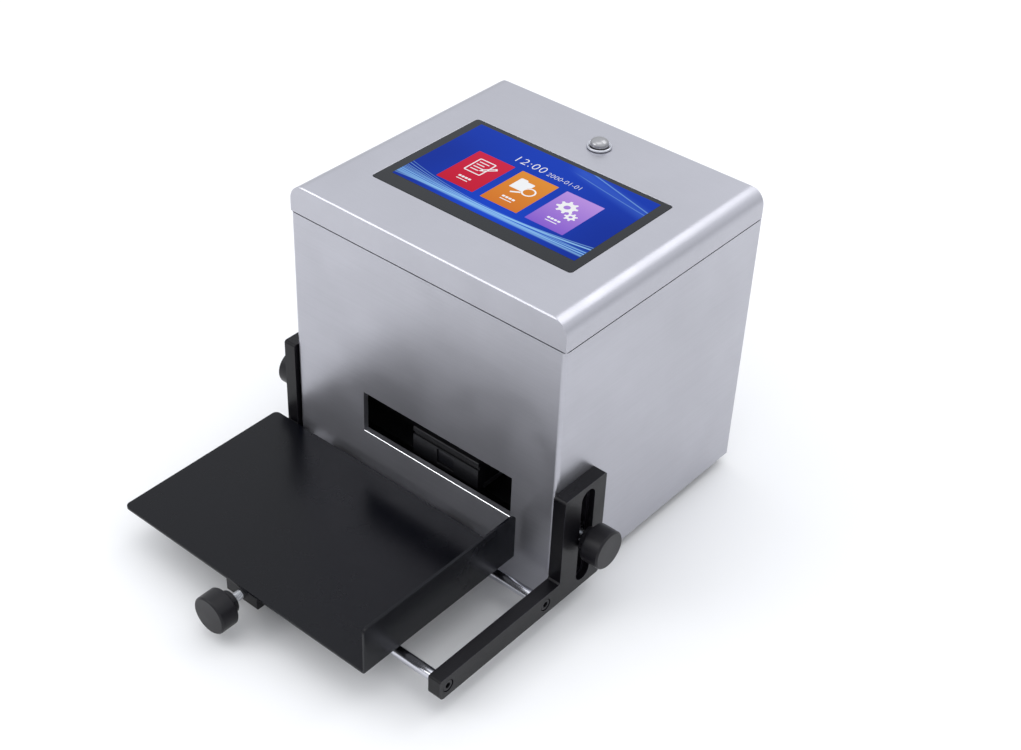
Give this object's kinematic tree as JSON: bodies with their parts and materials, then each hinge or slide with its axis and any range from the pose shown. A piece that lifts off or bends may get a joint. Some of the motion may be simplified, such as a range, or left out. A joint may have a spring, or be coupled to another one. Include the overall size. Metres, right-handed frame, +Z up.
{
  "type": "date code inkjet printer",
  "caption": "Desktop inkjet date coder: silver sheet metal case with touch screen lid, print window in the front wall and a height adjustable sliding product tray with fence on two rods",
  "frame": {"origin": "centre of the overall box in plan, on the underside of the rubber feet", "axes": "+X to the machine's right, +Y to its back along the overall depth from tray to case, +Z up"},
  "size_m": [0.2896, 0.38, 0.2351],
  "materials": {
    "housing_silver": "satin silver-grey powder coat",
    "black_coated": "satin black powder coat",
    "black_anodised": "black anodised, fine blasted",
    "black_plastic": "moulded, fine grain",
    "knob_plastic": "moulded, satin",
    "rubber_black": "matt rubber",
    "chrome_steel": "polished",
    "steel_bright": "fine brushed",
    "zinc_steel": "zinc plated",
    "aluminium_plain": "machined",
    "glass_dark": "back printed cover glass over a lit screen",
    "panel_grey": "screen can, satin",
    "board_green": "solder mask",
    "ink_blue": "moulded cartridge shell",
    "latch_grey": "moulded",
    "dark_steel": "black oxide"
  },
  "bodies": {
    "housing": {"body_shell": "housing_silver", "base_plate": "zinc_steel", "rear_panel": "housing_silver", "foot_front_left": "rubber_black", "foot_front_right": "rubber_black", "foot_rear_left": "rubber_black", "foot_rear_right": "rubber_black", "guide_nut_left": "steel_bright", "guide_nut_right": "steel_bright", "power_jack": "black_plastic", "usb_port": "steel_bright", "foot_switch_socket": "chrome_steel", "control_board": "board_green", "power_board": "board_green", "fan_frame": "black_plastic", "hinge_leaf_fixed_left": "steel_bright", "hinge_leaf_fixed_right": "steel_bright", "hinge_pin_left": "chrome_steel", "hinge_pin_right": "chrome_steel", "rail_bridge": "zinc_steel", "linear_rail": "chrome_steel", "motor_bracket": "zinc_steel", "stepper_motor": "black_plastic", "idler_bracket": "zinc_steel", "drive_belt": "rubber_black"},
    "lid": {"lid_cover": "housing_silver", "touch_glass": "glass_dark", "screen_frame": "zinc_steel", "screen_module": "panel_grey", "button_bezel": "chrome_steel", "button_nut": "steel_bright", "hinge_leaf_lid_left": "steel_bright", "hinge_leaf_lid_right": "steel_bright"},
    "power_button": {"button_cap": "steel_bright"},
    "fan": {"fan_rotor": "black_plastic"},
    "right_knob": {"knob_right": "knob_plastic"},
    "left_knob": {"knob_left": "knob_plastic"},
    "tray_frame": {"bracket_left": "black_anodised", "bracket_right": "black_anodised", "rod_front": "chrome_steel", "rod_rear": "chrome_steel", "rod_screw_front_left": "dark_steel", "rod_screw_front_right": "dark_steel", "rod_screw_rear_left": "dark_steel", "rod_screw_rear_right": "dark_steel"},
    "tray": {"tray_plate": "black_coated", "slide_block_front": "black_anodised", "slide_block_rear_left": "black_anodised", "slide_block_rear_right": "black_anodised"},
    "front_knob": {"knob_front": "knob_plastic"},
    "carriage": {"rail_block": "steel_bright", "carriage_plate": "aluminium_plain", "head_holder": "black_plastic", "ink_cartridge": "ink_blue"},
    "latch": {"latch_lever": "latch_grey"},
    "drive_pulley": {"motor_pulley": "aluminium_plain"},
    "idler_wheel": {"idler_pulley": "aluminium_plain"}
  },
  "joints": [
    {"name": "lid_hinge", "type": "hinge", "parent": "housing", "child": "lid", "pos_m": [0, 0.1868, 0.2074], "axis": [-1, 0, 0], "range_deg": [0, 80]},
    {"name": "power_button_press", "type": "slide", "parent": "lid", "child": "power_button", "axis": [0, 0, -1], "range_m": [0, 0.0015], "stiffness_N_per_m": 800, "springref_m": -0.001},
    {"name": "fan_spin", "type": "hinge", "parent": "housing", "child": "fan", "pos_m": [0.06, 0.1748, 0.148], "axis": [0, 1, 0], "continuous": true},
    {"name": "right_knob_turn", "type": "hinge", "parent": "housing", "child": "right_knob", "pos_m": [0.134, -0.0007, 0.0558], "axis": [1, 0, 0], "range_deg": [0, 540]},
    {"name": "left_knob_turn", "type": "hinge", "parent": "housing", "child": "left_knob", "pos_m": [-0.134, -0.0007, 0.0558], "axis": [-1, 0, 0], "range_deg": [0, 540]},
    {"name": "tray_height", "type": "slide", "parent": "housing", "child": "tray_frame", "axis": [0, 0, 1], "range_m": [-0.0078, 0.024]},
    {"name": "tray_slide", "type": "slide", "parent": "tray_frame", "child": "tray", "axis": [1, 0, 0], "range_m": [-0.0247, 0.0732]},
    {"name": "front_knob_turn", "type": "hinge", "parent": "tray", "child": "front_knob", "pos_m": [-0.0254, -0.1812, 0.022], "axis": [0, -1, 0], "range_deg": [0, 540]},
    {"name": "carriage_slide", "type": "slide", "parent": "housing", "child": "carriage", "axis": [1, 0, 0], "range_m": [-0.0515, 0.0525]},
    {"name": "latch_turn", "type": "hinge", "parent": "carriage", "child": "latch", "pos_m": [0.0135, 0.0748, 0.121], "axis": [-1, 0, 0], "range_deg": [0, 100]},
    {"name": "drive_pulley_turn", "type": "hinge", "parent": "housing", "child": "drive_pulley", "pos_m": [-0.09, 0.0848, 0.06], "axis": [0, 1, 0], "range_deg": [-476, 468]},
    {"name": "idler_wheel_turn", "type": "hinge", "parent": "housing", "child": "idler_wheel", "pos_m": [0.095, 0.0848, 0.06], "axis": [0, 1, 0], "range_deg": [-476, 468]}
  ],
  "couplings": [
    {"joint": "drive_pulley_turn", "follows": "carriage_slide", "rad_per_m": -156.99},
    {"joint": "idler_wheel_turn", "follows": "carriage_slide", "rad_per_m": -156.99}
  ]
}
